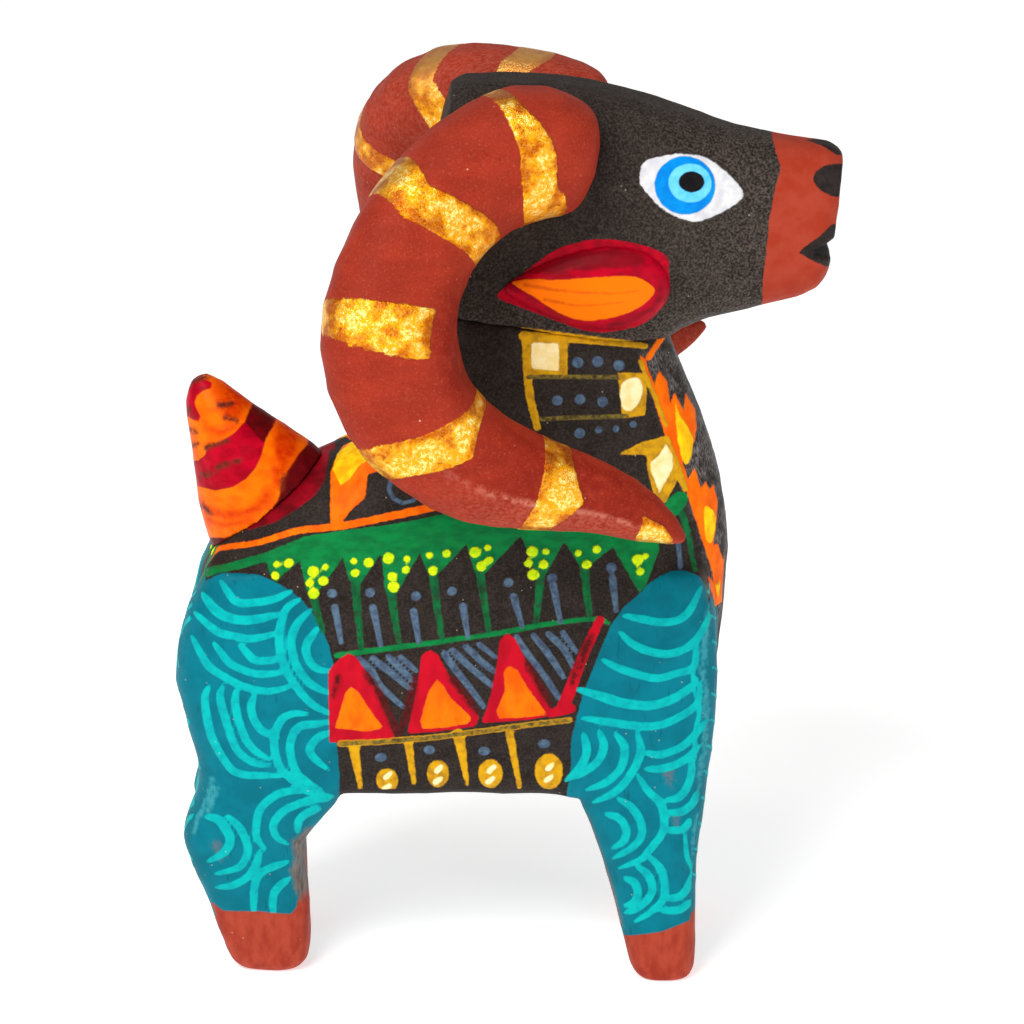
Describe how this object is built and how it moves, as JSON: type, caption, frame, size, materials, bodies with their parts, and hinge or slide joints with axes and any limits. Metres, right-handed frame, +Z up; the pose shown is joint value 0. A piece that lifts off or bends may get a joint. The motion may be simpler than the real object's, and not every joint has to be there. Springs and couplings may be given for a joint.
{
  "type": "alebrije figure",
  "caption": "Small carved and painted wooden ram that stands on four legs, with curled horns, leaf-shaped ears and a cone tail.",
  "frame": {"origin": "on the ground, under the middle of the figure's bounding box", "axes": "+X towards the nose, +Y to the animal's left, +Z up"},
  "size_m": [0.0541, 0.044, 0.0773],
  "materials": {
    "painted_body": "matt acrylic paint with hand-painted patterns",
    "painted_head": "matt black acrylic paint with a brick-brown muzzle",
    "painted_horn": "matt brick-brown paint with bands of metallic gold",
    "painted_ear": "satin crimson and orange paint",
    "painted_tail": "satin orange and crimson paint",
    "bare_wood": "bare pale wood"
  },
  "bodies": {
    "root": {"torso": "painted_body", "head": "painted_head", "neck_dowel": "bare_wood", "right_horn": "painted_horn", "left_horn": "painted_horn", "right_horn_peg": "bare_wood", "left_horn_peg": "bare_wood", "right_ear": "painted_ear", "left_ear": "painted_ear", "right_ear_peg": "bare_wood", "left_ear_peg": "bare_wood", "tail": "painted_tail", "tail_peg": "bare_wood"}
  },
  "joints": []
}
